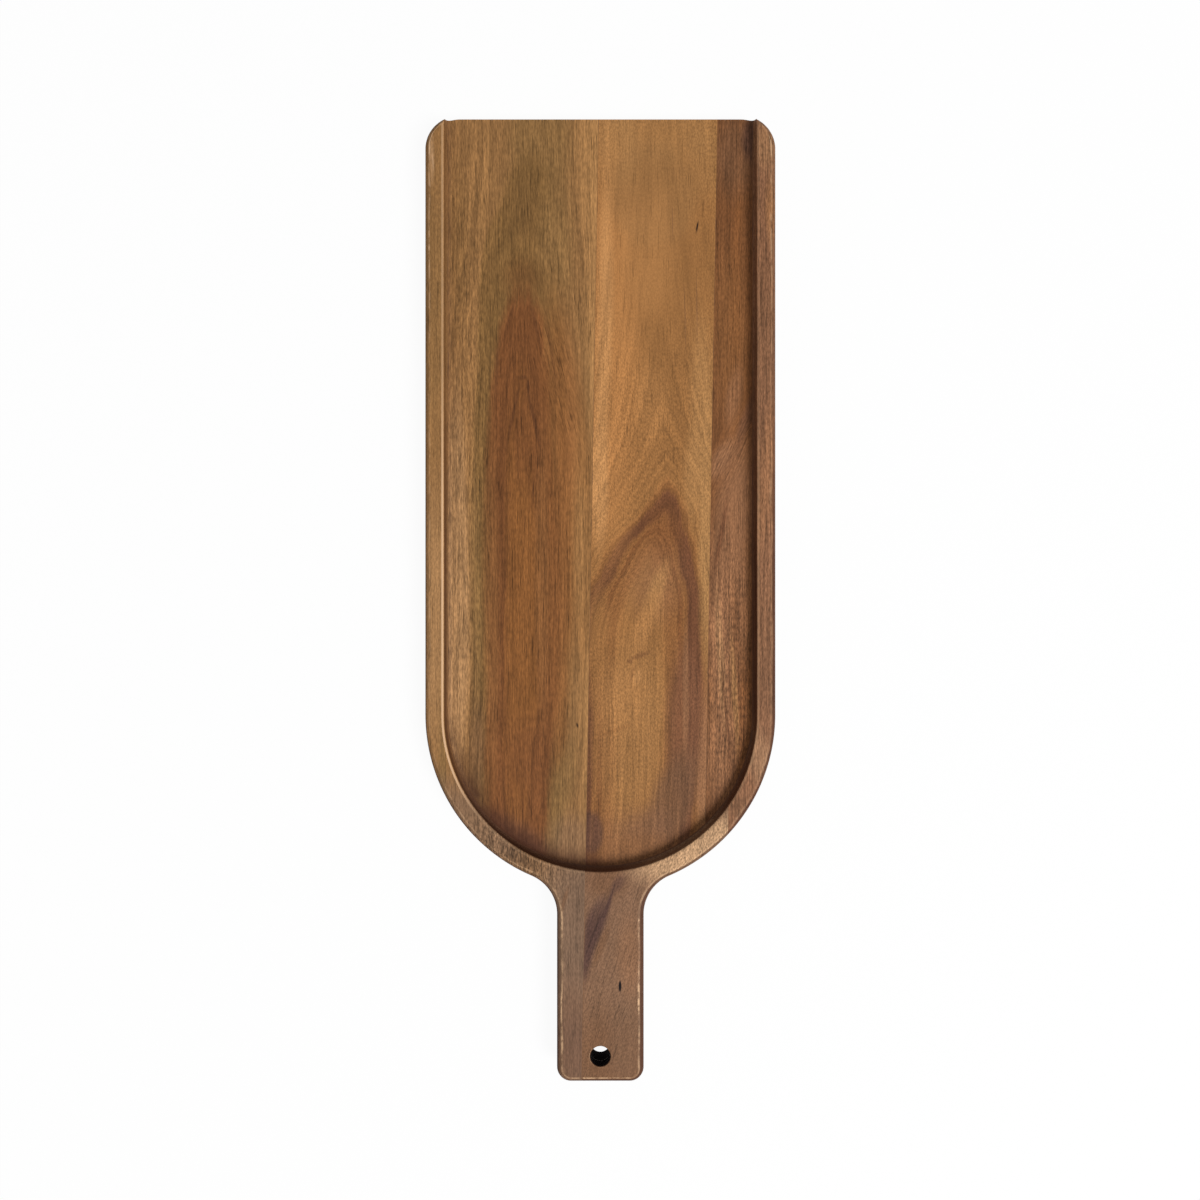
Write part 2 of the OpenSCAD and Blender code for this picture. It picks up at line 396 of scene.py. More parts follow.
FIGURES = {
    "base_left_stave": Figure(
        across=((-275, -50), (-104, -48), (-58, -45), (0, -44), (58, -45), (92, -46.5), (127, -46),
                (180, -44.5), (275, -42)),
        depth=((-275, 26), (-160, 19), (-104, 16), (-58, 14), (0, 13.5), (58, 15), (92, 16), (110, 16.6),
               (128, 17.6), (147, 19), (161, 20.8), (172, 23), (180, 25), (195, 28.5),
               (222, 33), (275, 36)),
        rings=((0, "heart_core"), (15, "heart_core"), (19, "heart"), (22, "heart"), (26.5, "olive"),
               (29, "olive"), (33, "tan"), (60, "tan")),
        patches=(
            Patch(-34, 266, 22, 40, 0, "grey_olive", 0.75, 0.7),
            Patch(-43, 222, 17, 36, -7, "olive", 0.85, 0.45),
            Patch(-61.5, 188, 8.5, 36, -6, "olive", 0.85, 0.35),
            Patch(-83, 205, 8, 60, 0, "olive", 0.4),
            Patch(-67, 236, 3.2, 48, -5, "gold", 0.8),
            Patch(-25, 205, 12, 52, 0, "grey_olive", 0.75),
            Patch(-21, 110, 14, 80, 5, "copper", 0.7),
            Patch(-25, 15, 14, 110, 0, "copper", 0.85),
            Patch(-33.5, 10, 5, 100, 0, "brown", 0.6),
            Patch(-11, 20, 7, 105, 0, "amber", 0.8),
            Patch(-11.5, 22, 4.5, 54, 0, "gold", 0.45),
            Patch(-23, -70, 7, 36, 0, "copper", 0.5),
            Patch(-63, -12, 6, 128, 0, "brown", 0.75),
            Patch(-4, 250, 8, 60, 0, "gold", 1.0),
            Patch(-4, 165, 6, 80, -1, "gold", 0.9),
            Patch(-83, 6, 8, 126, 0, "pale", 0.8, 0.6),
            Patch(-72.5, -2, 4.4, 104, 0, "grey_olive", 0.65),
            Patch(-71, -88, 6, 36, 0, "umber", 0.5),
            Patch(-67, 150, 5, 28, 0, "olive", 0.95),
            Patch(-45, 184, 15, 16, 0, "heart", 0.4, 1.0),
            Patch(-38, 62, 0.5, 7, 0, "heart_dark", 0.8),
            Patch(-43, 44, 0.4, 6, 0, "heart_dark", 0.6),
            Patch(-45, 92, 7, 34, 0, "heart", 0.75),
            Patch(-49.8, 106, 1.3, 24, -12, "heart_dark", 0.7),
            Patch(-38.6, 104, 1.3, 24, 11, "heart_dark", 0.7),
            Patch(-41.3, 122, 0.9, 5, 4, "heart_dark", 0.9),
            Patch(-44.6, 127, 4, 1.8, 0, "heart_dark", 0.5),
            Patch(-27.5, 140, 1.4, 28, 9, "heart_dark", 0.4),
            Patch(-53, 160, 1.4, 18, -18, "heart_dark", 0.45),
            Patch(-37, 158, 1.6, 18, 14, "heart_dark", 0.5),
            Patch(-60, 134, 1.2, 32, -4, "heart_dark", 0.5),
            Patch(-42, -92, 20, 28, 0, "heart", 0.75),
            # Painted shade along the cove at the lower left of the round end
            Patch(-46, -140, 28, 12, -35, "plum", 0.4),
            Patch(-13, -84, 9, 74, 0, "tan", 0.9),
            Patch(-21, -108, 8, 36, -11, "grey_olive", 0.65),
            Patch(-7.8, -88, 2.5, 62, -1, "gold", 0.7),
            Patch(-16, -141, 18, 20, 0, "grey_brown", 0.45),
            Patch(-13.5, -73.7, 0.8, 1.8, 20, "ink_and_hole_shade", 0.8),
        ),
        ring_lines=0.2,
        dash_length=3.6,
        short_grain=0.22,
        long_grain=0.21,
        pores=0.45,
        coarse=Oval(-78, 40, 17, 300, 0, 0.35),
        scorch_and_painted_shade=1.5,
        twists=(Oval(-25, 130, 16, 66, 12),),
    ),
    "base_centre_stave": Figure(
        across=((-275, 12), (-144, 20), (-83, 23), (-29, 23), (0, 25.6), (14, 27.4), (29, 29.4), (41, 32.7),
                (58, 37.4), (100, 36), (275, 33)),
        depth=((-275, 6), (-144, 4), (-83, 3), (-29, 2), (0, 6), (14, 12.4), (29, 17.4), (41, 25), (58, 33),
               (75, 41), (100, 50), (150, 58), (275, 66)),
        rings=((0, "amber"), (12, "amber"), (19, "brown"), (22, "brown"), (24.5, "sepia"), (26.5, "brown"),
               (30, "purple"), (34, "purple"), (36.5, "brown"), (40, "amber"), (70, "amber")),
        patches=(
            Patch(9, 262, 16, 34, 0, "gold", 0.8),
            Patch(60, 255, 12, 30, 0, "gold", 0.4),
            Patch(40, 268, 34, 22, 0, "gold", 0.45),
            Patch(4, 140, 23, 135, 0, "orange", 0.9, 0.8),
            Patch(30, 232, 27, 31, 0, "tan", 0.5, 0.4),
            Patch(28, 202, 19, 41, 0, "golden", 0.4, 0.6),
            Patch(58, 115, 9, 55, 0, "gold", 0.7),
            Patch(54, 70, 9, 34, 0, "gold", 0.7),
            Patch(41.5, 216, 0.3, 14, 0, "umber", 0.5),
            Patch(48.4, 161, 0.3, 24, 0, "umber", 0.5),
            Patch(55.3, 167, 0.3, 26, 0, "umber", 0.6),
            Patch(56, 214, 0.7, 4.2, -12, "ink_and_hole_shade", 0.95),
            Patch(30, 112, 12, 30, 0, "golden", 0.4),
            Patch(0, 66, 8, 34, 0, "orange", 0.6),
            Patch(1.5, 150, 6, 125, -1, "honey", 0.85, 0.9),
            Patch(-1, 66, 6.5, 44, -1, "honey", 0.95, 0.8),
            Patch(61, 36, 5.5, 100, 0, "gold", 0.95),
            Patch(36, 36, 14, 23, 0, "sepia", 0.8, 1.0),
            Patch(-1, -27, 9, 40, 0, "amber", 0.85),
            Patch(32, 8, 20, 28, -10, "clay", 0.5, 1.0),
            Patch(32, 4, 6, 22, -20, "gold", 0.7, 1.0),
            Patch(26, -14, 7, 25, -20, "golden", 0.9, 1.0),
            Patch(17, -76, 24, 56, -6, "gold", 0.3, 0.6),
            Patch(12, -58, 18, 24, -6, "golden", 0.5),
            Patch(50, -74, 13, 52, 0, "mauve", 0.8, 0.6),
            Patch(43, -116, 15, 34, -19, "umber", 0.8, 0.7),
            Patch(49.6, -56, 2.4, 46, 0, "clay", 0.8),
            Patch(60, -98, 4, 52, -1, "clay", 0.85),
            Patch(30, -132, 24, 14, 20, "umber", 0.6, 0.9),
            Patch(20, -145, 30, 12, 0, "brown", 0.6),
            Patch(22, -142, 34, 24, 0, "rose", 0.45),
            # Faint painted shadow by the wall at the lower right of the round end
            Patch(54, -137, 24, 8, 28, "burn_and_painted_shade", 0.1, 1.0),
            Patch(-4.6, -136, 7.5, 13, 0, "plum", 0.6, 0.45),
            Patch(23, -33.5, 8, 2, 20, "purple", 0.45),
            Patch(16.8, -37, 2, 1.6, 0, "purple", 0.5),
            Patch(18.4, -44, 1.4, 7, -10, "purple", 0.3),
            Patch(21.5, -46, 3, 6, -20, "honey", 0.5),
            Patch(8.6, -76.5, 12, 1.6, 20, "brown", 0.4),
        ),
        ring_lines=0.21,
        dash_length=1.7,
        short_grain=0.26,
        long_grain=0.06,
        pores=0.25,
        coarse=Oval(30, 205, 48, 95, 0, -0.55),
        point=1.2,
        twists=(Oval(7, 10, 24, 40, -30),),
    ),
    "base_right_stave": Figure(
        across=((-275, 140), (275, 150)),
        depth=STRAIGHT_DEPTH,
        rings=((50, "russet"), (58, "russet"), (61, "sepia"), (64, "russet"), (68, "sepia"), (72, "russet"),
               (76, "sepia"), (80, "russet"), (100, "russet")),
        patches=(
            Patch(78, 256, 16, 30, 0, "umber", 0.6),
            Patch(86.5, 265, 7, 16, 0, "plum", 0.55),
            Patch(74, 150, 14, 60, 0, "brown", 0.5),
            Patch(85, 104, 4, 18, -20, "plum", 0.35),
            Patch(79.5, 86, 2.5, 16, -25, "purple", 0.5),
            Patch(77, 116, 6, 22, -10, "clay", 0.6),
            Patch(70, 80, 7, 16, -30, "clay", 0.9),
            Patch(76, 40, 15, 66, -6, "clay", 0.9),
            Patch(70, -30, 10, 66, 2, "clay", 0.9),
            Patch(73, -88, 7, 44, 0, "clay", 0.65),
            Patch(69.3, 36, 1.8, 28, -9, "purple", 0.75),
            Patch(69.5, -34, 2.6, 46, 3, "pale", 0.4),
            Patch(77, -56, 2, 42, 3, "gold", 0.5),
            Patch(72.5, -66, 0.8, 44, 5, "purple", 0.6),
            Patch(66, -92, 8, 40, 0, "clay", 0.6),
            Patch(82, -8, 6, 40, 0, "clay", 0.5),
            # Faint painted shadow by the wall at the lower right of the round end
            Patch(54, -137, 24, 8, 28, "burn_and_painted_shade", 0.1, 1.0),
        ),
        ring_lines=0.14,
        dash_length=2.6,
        short_grain=0.24,
        long_grain=0.22,
        pores=0.4,
        coarse=Oval(74, -50, 22, 100, 0, 0.8),
        twists=(Oval(75, 80, 16, 46, -25),),
    ),
    "top_left_rail": Figure(
        across=((-275, 20), (275, 40)),
        depth=STRAIGHT_DEPTH,
        rings=((20, "grey_brown"), (40, "grey_brown"), (80, "tan"), (118, "tan"), (122, "grey_olive"),
               (126, "tan"), (150, "tan")),
        patches=(
            Patch(-95, 170, 14, 90, 0, "grey_olive", 0.4),
            Patch(-95, -10, 14, 90, 0, "pale", 0.5),
            Patch(-68, -130, 46, 16, -45, "grey_brown", 0.75),
            Patch(-96.5, 256, 0.7, 11, 0, "cream", 0.7),
            Patch(-94.5, 248, 0.6, 6, 5, "cream", 0.6),
            Patch(-95, 250, 1.6, 18, 0, "cream", 0.35),
            Patch(-15, -215, 45, 95, 0, "grey_brown", 0.95),
            Patch(-20, -172, 1.6, 10, -17, "umber", 0.6),
            Patch(-16, -250, 16, 44, 0, "mauve", 0.3),
            Patch(-16, -262, 14, 34, 0, "plum", 0.25),
            Patch(-44, -147, 18, 9, -30, "ink_and_hole_shade", 0.32),
        ),
        ring_lines=0.06,
        dash_length=2.6,
        short_grain=0.2,
        long_grain=0.16,
        pores=0.35,
        coarse=Oval(-50, -146, 46, 34, 0, 1.8),
        # The left rail's inner lip gets the strongest painted highlight, and its crest is partly worn and
        # partly a painted highlight
        painted_lip_highlight=0.9,
        crest=0.9,
        scorch_and_painted_shade=1.5,
    ),
    "top_handle_block": Figure(
        across=((-275, -70), (-200, -72), (-130, -80)),
        depth=STRAIGHT_DEPTH,
        rings=((40, "handle"), (160, "handle")),
        patches=(
            Patch(52, -143, 42, 20, 15, "cream", 0.85, 0.7),
            Patch(3, -162, 16, 12, 0, "umber", 0.85),
            Patch(8, -262, 36, 38, 0, "umber", 0.9),
            Patch(15, -250, 14, 40, 0, "grey_brown", 0.25),
            Patch(17, -205, 9, 28, 0, "clay", 0.4),
            Patch(-2.6, -181, 6.2, 16, -24, "plum", 0.7),
            Patch(-1.2, -190, 4.2, 24, -19, "plum", 0.9, 1.0),
            Patch(-7, -200, 4.5, 24, -7, "plum", 0.85),
            Patch(4.5, -174, 1.5, 13, -18, "plum", 0.8),
            Patch(-3.5, -191, 0.9, 16, -20, "ink_and_hole_shade", 0.35),
            Patch(10, -163, 4.5, 8, -40, "plum", 0.55),
            Patch(1, -198, 3, 16, -19, "umber", 0.7),
            Patch(11.4, -221, 0.8, 3.4, 0, "ink_and_hole_shade", 1.0, 0.5),
        ),
        ring_lines=0.08,
        dash_length=1.7,
        short_grain=0.27,
        long_grain=0.1,
        pores=0.3,
        coarse=Oval(54, -143, 40, 24, 15, 1.0),
        painted_lip_highlight=0.12,
        crest=0.9,
        twists=(Oval(0, -205, 70, 140, -18),),
    ),
    "top_right_rail": Figure(
        across=((-275, 200), (275, 210)),
        depth=STRAIGHT_DEPTH,
        rings=((80, "rose"), (104, "rose"), (107, "umber"), (110, "rose"), (140, "rose")),
        patches=(
            Patch(97, 220, 4, 24, 0, "amber", 0.35),
            Patch(95, 150, 8, 50, 0, "umber", 0.35),
            Patch(95, 72, 9, 60, -10, "clay", 0.95),
            Patch(95, -30, 8, 50, 0, "umber", 0.4),
            Patch(91, -92, 9, 30, 18, "cream", 0.22),
            Patch(80, -120, 8, 10, 35, "umber", 0.7),
            Patch(95, 258, 8, 18, 0, "pale", 0.3),
        ),
        ring_lines=0.1,
        dash_length=2.8,
        short_grain=0.3,
        long_grain=0.36,
        pores=0.35,
        painted_lip_highlight=0.2,
        crest=0.5,
    ),
}


# Shapes

def arc(centre, radius, start, end, steps, first=0, hollow=False):
    """Points of an arc, each with the direction that leads into the board there."""
    made = []
    for step in range(first, steps + 1):
        angle = math.radians(start + (end - start) * step / steps)
        out = Vector((math.cos(angle), math.sin(angle)))
        made.append((Vector(centre) + radius * out, out if hollow else -out))
    return made


def straight(start, end, spacing):
    """Points between two others, evenly spaced and without those two."""
    steps = max(1, round((end[0] - start[0]).length / spacing))
    return [(start[0].lerp(end[0], step / steps), start[1]) for step in range(1, steps)]


def half_outline(sizes):
    """Right half of the board's outline, from the open end to the tip of the handle."""
    head = sizes.width / 2
    arc_y = sizes.open_end - sizes.side
    grip = sizes.handle_width / 2
    neck_x = grip + sizes.neck
    neck_drop = math.sqrt((head + sizes.neck) ** 2 - neck_x ** 2)
    neck_angle = math.degrees(math.atan2(neck_drop, neck_x))
    neck_centre = (neck_x, arc_y - neck_drop)
    corner = (head - sizes.open_corner, sizes.open_end - sizes.open_corner)
    tip = (grip - sizes.handle_corner, sizes.handle_corner - sizes.handle_end)
    arcs = (
        arc(corner, sizes.open_corner, 90, 0, CORNER_STEPS),
        arc((0, arc_y), head, 0, -neck_angle, HEAD_STEPS),
        arc(neck_centre, sizes.neck, 180 - neck_angle, 180, CORNER_STEPS, first=1, hollow=True),
        arc(tip, sizes.handle_corner, 0, -90, TIP_STEPS),
    )
    side = straight(arcs[0][-1], arcs[1][0], sizes.spacing)
    grip_side = straight(arcs[2][-1], arcs[3][0], sizes.spacing)
    return arcs[0] + side + arcs[1] + arcs[2] + grip_side + arcs[3]


def outline(sizes):
    """Whole outline, clockwise from above."""
    right = half_outline(sizes)
    left = [(Vector((-p.x, p.y)), Vector((-d.x, d.y))) for p, d in reversed(right)]
    return right + left


def unevenness(point):
    """Small change of an edge's rounding, as sanding by hand leaves it."""
    place = Vector((point.x * SANDING_COUNT, point.y * SANDING_COUNT, SANDING_PLACE))
    return 1 + SANDING * noise.noise(place)


def drawn_in(point, inward, inset, z):
    """A point of the outline drawn in by an inset, at height z."""
    return (*(point + inward * inset * unevenness(point)), z)


def ring(points, inset, z):
    """The whole outline drawn in by an inset, at height z."""
    return [drawn_in(p, d, inset, z) for p, d in points]


def layer_heights(sizes, layer):
    """Lowest and highest place of a layer."""
    top_low = sizes.base + sizes.film
    heights = {
        "base": (0, sizes.base),
        "film": (sizes.base, top_low),
        "top": (top_low, sizes.thickness),
    }
    return heights[layer]


def turns(degrees, steps):
    """Angles from 0 up to a number of degrees, in equal steps."""
    return [math.radians(degrees) * step / steps for step in range(steps + 1)]


def easing(width, height, crest=0.0):
    """Insets and drops of an eased edge, from its foot up and over the worn crest to the flat."""
    stop = math.radians(EASING_TURN)
    low = crest * CREST_SLOPE
    made = []
    for a in turns(EASING_TURN, EDGE_STEPS):
        inset = width * (1 - math.cos(a)) / (1 - math.cos(stop))
        made.append((inset, low + (height - low) * (1 - math.sin(a) / math.sin(stop))))
    return made + [(width + crest, 0)] if crest else made


def ear_drop(sizes, point):
    """Height of the eased edge, which is taller where the rims end at the open end."""
    start = sizes.open_end - sizes.open_corner
    share = min(1, max(0, (point.y - start) / sizes.open_corner))
    return sizes.edge * (1 + share)


def layer_rings(sizes, layer):
    """Rings of one layer, from its lowest to its highest, with its outer edge rounded."""
    points = outline(sizes)
    low, high = layer_heights(sizes, layer)
    foot = ring(points, 0, low)
    head = ring(points, 0, high)
    if layer == "base":
        edge = sizes.edge
        quarter = turns(90, EDGE_STEPS)
        rounded = [ring(points, edge * (1 - math.sin(a)), low + edge * (1 - math.cos(a))) for a in quarter]
        return rounded + [head]
    if layer == "top":
        eased = [easing(sizes.edge * EASED_SHARE, ear_drop(sizes, p), sizes.crest) for p, _ in points]
        rings = [
            [drawn_in(p, d, inset, high - drop) for (p, d), (inset, drop) in zip(points, row)]
            for row in zip(*eased)
        ]
        return [foot] + rings
    return [foot, head]


def tray_rings(sizes):
    """Rings of the tray's cutter: floor, cove, wall, eased edge and a way out at the top."""
    arc_y = sizes.open_end - sizes.side
    wall = sizes.width / 2 - sizes.rim
    floor = sizes.base - sizes.rout
    cove = sizes.cove
    quarter = turns(90, COVE_STEPS)
    section = [(wall - cove * (1 - math.sin(a)), floor + cove * (1 - math.cos(a))) for a in quarter]
    eased = easing(sizes.rim_ease, sizes.rim_ease, sizes.crest)
    section += [(wall + out, sizes.thickness - drop) for out, drop in eased]
    section.append((wall + sizes.rim_ease + sizes.crest, sizes.thickness + PAST))
    rings = []
    for reach, z in section:
        bend = arc((0, arc_y), reach, 0, -180, TRAY_STEPS)
        ends = [Vector((side * reach, sizes.open_end + PAST)) for side in (-1, 1)]
        rings.append([(*p, z) for p in [p for p, _ in bend] + ends])
    return rings


def hole_rings(sizes):
    """Rings of the hole's cutter, flared at both mouths."""
    radius = sizes.hole / 2
    eased = easing(sizes.hole_ease, sizes.hole_ease)
    upper = [(radius + out, sizes.thickness - drop) for out, drop in eased]
    upper.append((radius + sizes.hole_ease, sizes.thickness + PAST))
    section = [(r, sizes.thickness - z) for r, z in reversed(upper)] + upper
    centre = (0, sizes.hole_inset - sizes.handle_end)
    return [[(*p, z) for p, _ in arc(centre, r, 0, 360, HOLE_STEPS, first=1)] for r, z in section]


def joint_lines(sizes, piece):
    """Places of a piece's two sides at mid-length."""
    half_film = sizes.film / 2
    gap = -half_film if piece.slot == "glue" else half_film
    left = -sizes.width if piece.left == "edge" else getattr(sizes, piece.left) + gap
    right = sizes.width if piece.right == "edge" else getattr(sizes, piece.right) - gap
    return left, right


def stave_rings(sizes, piece):
    """Rings of the space between the joints on a piece's two sides."""
    reach = sizes.open_end + PAST
    lean = reach * math.tan(sizes.lean)
    left, right = joint_lines(sizes, piece)
    corners = [(left - lean, -reach), (right - lean, -reach), (right + lean, reach), (left + lean, reach)]
    return [[(*corner, z) for corner in corners] for z in (-PAST, sizes.thickness + PAST)]


def loft(name, rings):
    """Closed solid through rings of equal count, as an object in the scene."""
    mesh = bpy.data.meshes.new(name)
    build = bmesh.new()
    rows = [[build.verts.new(point) for point in row] for row in rings]
    count = len(rows[0])
    for low, high in zip(rows, rows[1:]):
        for i in range(count):
            following = (i + 1) % count
            build.faces.new((low[i], low[following], high[following], high[i]))
    build.faces.new(rows[0])
    build.faces.new(rows[-1])
    bmesh.ops.recalc_face_normals(build, faces=build.faces)
    build.to_mesh(mesh)
    build.free()
    solid = bpy.data.objects.new(name, mesh)
    bpy.context.scene.collection.objects.link(solid)
    return solid


def carve(solid, tool_rings, operation):
    """Cuts a solid with the solid through tool_rings, or keeps what both share."""
    tool = loft("tool", tool_rings)
    change = solid.modifiers.new("carve", "BOOLEAN")
    change.object = tool
    change.operation = operation
    change.solver = "EXACT"
    bpy.context.view_layer.update()
    depsgraph = bpy.context.evaluated_depsgraph_get()
    carved = bpy.data.meshes.new_from_object(solid.evaluated_get(depsgraph))
    solid.modifiers.clear()
    spent = [solid.data, tool.data]
    solid.data = carved
    bpy.data.objects.remove(tool)
    for mesh in spent:
        bpy.data.meshes.remove(mesh)


def finish_surface(solid):
    """Merges stray points, and shades round parts smooth and corners sharp."""
    build = bmesh.new()
    build.from_mesh(solid.data)
    bmesh.ops.remove_doubles(build, verts=build.verts, dist=MERGED)
    bmesh.ops.dissolve_degenerate(build, edges=build.edges, dist=SLIVER)
    bmesh.ops.recalc_face_normals(build, faces=build.faces)
    for face in build.faces:
        face.smooth = True
    build.to_mesh(solid.data)
    build.free()
    if not solid.data.polygons:
        raise RuntimeError(f"{solid.name} came out empty")
    solid.data.set_sharp_from_angle(angle=math.radians(SHARP_FROM))
    shading = solid.modifiers.new("flat faces stay flat", "WEIGHTED_NORMAL")
    shading.keep_sharp = True
    shading.weight = 100


def make_piece(sizes, piece):
    """One piece of the board, cut from its layer, in place of its node."""
    solid = loft(piece.node + "_finished", layer_rings(sizes, piece.layer))
    if (piece.left, piece.right) != ("edge", "edge"):
        carve(solid, stave_rings(sizes, piece), "INTERSECT")
    carve(solid, tray_rings(sizes), "DIFFERENCE")
    if piece.node in HOLED_NODES:
        carve(solid, hole_rings(sizes), "DIFFERENCE")
    finish_surface(solid)
    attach(solid, BODY)
    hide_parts(piece.node)
    return solid


# Materials

class Graph:
    """Adds nodes to one material. A value may be a number or another node's output."""

    def __init__(self, name):
        self.material = bpy.data.materials.new(name)
        self.material.use_nodes = True
        self.tree = self.material.node_tree
        self.shader = self.tree.nodes["Principled BSDF"]

    def set(self, node, socket, value):
        if isinstance(value, bpy.types.NodeSocket):
            self.tree.links.new(value, node.inputs[socket])
        else:
            node.inputs[socket].default_value = value

    def node(self, kind, inputs=(), **values):
        """New node with its settings, and with its first inputs filled in order."""
        made = self.tree.nodes.new(kind)
        for name, value in values.items():
            setattr(made, name, value)
        for socket, value in enumerate(inputs):
            self.set(made, socket, value)
        return made

    def math(self, operation, first, second=0.0, third=0.0):
        return self.node("ShaderNodeMath", (first, second, third), operation=operation).outputs[0]

    def times(self, made, *others):
        """Product of two or more values."""
        for value in others:
            made = self.math("MULTIPLY", made, value)
        return made

    def greatest(self, made, *others):
        for value in others:
            made = self.math("MAXIMUM", made, value)
        return made

    def step(self, value, low, high, to_low=0.0, to_high=1.0):
        """Smooth change from to_low to to_high as value goes from low to high."""
        inputs = (value, low, high, to_low, to_high)
        return self.node("ShaderNodeMapRange", inputs, interpolation_type="SMOOTHSTEP").outputs[0]

    def share(self, value, first, last):
        """How far a value has come on the way from first to last."""
        return self.node("ShaderNodeMapRange", (value, first, last)).outputs[0]

    def noise(self, point, kind, shift=0.0):
        """Soft noise of one kind: its count per millimetre along each axis, detail and roughness."""
        stretch, detail, roughness = kind
        moved = tuple(shift * share for share in SHIFT_SHARES)
        placed = self.node("ShaderNodeVectorMath", (point, stretch, moved), operation="MULTIPLY_ADD")
        made = self.node("ShaderNodeTexNoise")
        self.set(made, "Vector", placed.outputs[0])
        self.set(made, "Scale", 1.0)
        self.set(made, "Detail", detail)
        self.set(made, "Roughness", roughness)
        return made.outputs["Fac"]

    def sway(self, value, most):
        """A noise turned into a change of up to most either way."""
        return self.math("MULTIPLY_ADD", value, 2 * most, -most)

    def swing(self, value, amount):
        """1 where a noise is middling, less where it is low and more where it is high."""
        return self.math("MULTIPLY_ADD", self.step(value, *NOISE_RANGE, -1.0, 1.0), amount, 1.0)

    def less(self, value, amount):
        """1 where a value is 0, and less by amount where it is 1."""
        return self.math("MULTIPLY_ADD", value, -amount, 1.0)

    def between(self, amount, first, second):
        return self.math("MULTIPLY_ADD", self.math("SUBTRACT", second, first), amount, first)

    def curve(self, value, points):
        """Smooth curve through given points of value and result."""
        (first, _), (last, _) = points[0], points[-1]
        low = min(result for _, result in points)
        span = max(result for _, result in points) - low or 1.0
        made = self.node("ShaderNodeFloatCurve")
        line = made.mapping.curves[0]
        spots = [((v - first) / (last - first), (r - low) / span) for v, r in points]
        line.points[0].location = spots[0]
        line.points[1].location = spots[-1]
        for spot in spots[1:-1]:
            line.points.new(*spot)
        made.mapping.update()
        self.set(made, "Value", self.share(value, first, last))
        return self.math("MULTIPLY_ADD", made.outputs[0], span, low)

    def ramp(self, value, stops, colours):
        """Colours at given values."""
        first, last = stops[0][0], stops[-1][0]
        made = self.node("ShaderNodeValToRGB")
        band = made.color_ramp
        band.interpolation = "EASE"
        while len(band.elements) < len(stops):
            band.elements.new(0.5)
        for element, (spot, name) in zip(band.elements, stops):
            element.position = (spot - first) / (last - first)
            element.color = (*getattr(colours, name), 1)
        self.set(made, "Fac", self.share(value, first, last))
        return made.outputs["Color"]

    def mix(self, amount, first, second, blend="MIX"):
        """Blend of two colours, which are inputs 6 and 7 and output 2 of the node."""
        made = self.node("ShaderNodeMix", data_type="RGBA", blend_type=blend)
        self.set(made, 0, amount)
        self.set(made, 6, first)
        self.set(made, 7, second)
        return made.outputs[2]

    def scaled(self, vector, factor):
        made = self.node("ShaderNodeVectorMath", (vector,), operation="SCALE")
        self.set(made, "Scale", factor)
        return made.outputs[0]

    def split(self, vector):
        return self.node("ShaderNodeSeparateXYZ", (vector,)).outputs

    def joined(self, *parts):
        return self.node("ShaderNodeCombineXYZ", parts).outputs[0]

    def slide(self, point, amount):
        """The point moved across the board."""
        return self.node("ShaderNodeVectorMath", (point, self.joined(amount)), operation="ADD").outputs[0]

    def turned(self, point, oval, scale=(1, 1, 1)):
        """The point as seen from the middle of an oval, along its lean."""
        made = self.node("ShaderNodeMapping", vector_type="TEXTURE")
        self.set(made, "Vector", point)
        self.set(made, "Location", (oval.x, oval.y, 0))
        self.set(made, "Rotation", (0, 0, math.radians(oval.lean)))
        self.set(made, "Scale", scale)
        return made.outputs[0]

    def away(self, point, oval):
        """Distance from the middle of an oval, as a share of its size."""
        place = self.turned(point, oval, (oval.half_width, oval.half_length, THROUGH))
        return self.node("ShaderNodeVectorMath", (place,), operation="LENGTH").outputs["Value"]

    def oval(self, point, oval):
        """The amount of an oval inside it, fading softly to 0 at its edge."""
        return self.step(self.away(point, oval), OVAL_END, OVAL_END - oval.blur, 0.0, oval.amount)

    def reach(self, point, sizes):
        """Distance out to a point from the tray's middle line, round its end as well."""
        x, y, _ = self.split(point)
        beyond = self.math("SUBTRACT", y, (sizes.open_end - sizes.side) * PER_MM)
        beyond = self.math("MINIMUM", beyond, 0.0)
        squared = self.math("MULTIPLY_ADD", x, x, self.times(beyond, beyond))
        return self.math("SQRT", squared)

    def scorched_and_painted_shade(self, surface, point, upward, sizes, colours, inward=SCORCH_AND_SHADE_IN, clear=SCORCH_AND_SHADE_CLEAR):
        """The surface darkened on the tray's wall up to clear below its rim, in its left cove, and smoky
        along its round end: partly router scorch and partly painted shade in the crease and painted
        shadow of the rim. The underside stays plain.
        """
        x, y, z = self.split(point)
        reach = self.reach(point, sizes)
        wall = (sizes.width / 2 - sizes.rim) * PER_MM
        top = sizes.thickness * PER_MM
        ragged = self.math("ADD", reach, self.sway(self.noise(point, SMOKE_AND_SHADE, shift=2.0), SMOKE_AND_SHADE_MOST))
        # Smoky darkening by the round end: partly router scorch, partly painted shadow of the rim, weaker
        # on the right where the lamp's own shadow falls
        smoke_and_painted_shade = self.times(
            self.step(ragged, wall - SMOKE_AND_SHADE_WIDTH, wall),
            self.step(y, *SMOKE_AND_SHADE_ALONG),
            self.step(x, *SMOKE_AND_SHADE_ACROSS),
        )
        # Dark line at the wall's foot and a band in the left cove: painted shade in the crease, partly
        # router scorch
        foot = wall - inward
        line = self.times(self.step(reach, foot, foot + LINE_FADE), self.step(y, *LINE_ALONG))
        cove_start, cove_end = COVE_FADE
        cove = self.times(
            self.step(reach, wall - cove_start, wall - cove_end), self.step(x, *COVE_ACROSS)
        )
        amount = self.times(
            self.greatest(line, cove, smoke_and_painted_shade),
            self.step(z, top - clear, top - 2 * clear),
            self.step(upward, *NOT_BELOW),
        )
        return self.mix(amount, surface, (*colours.burn_and_painted_shade, 1))


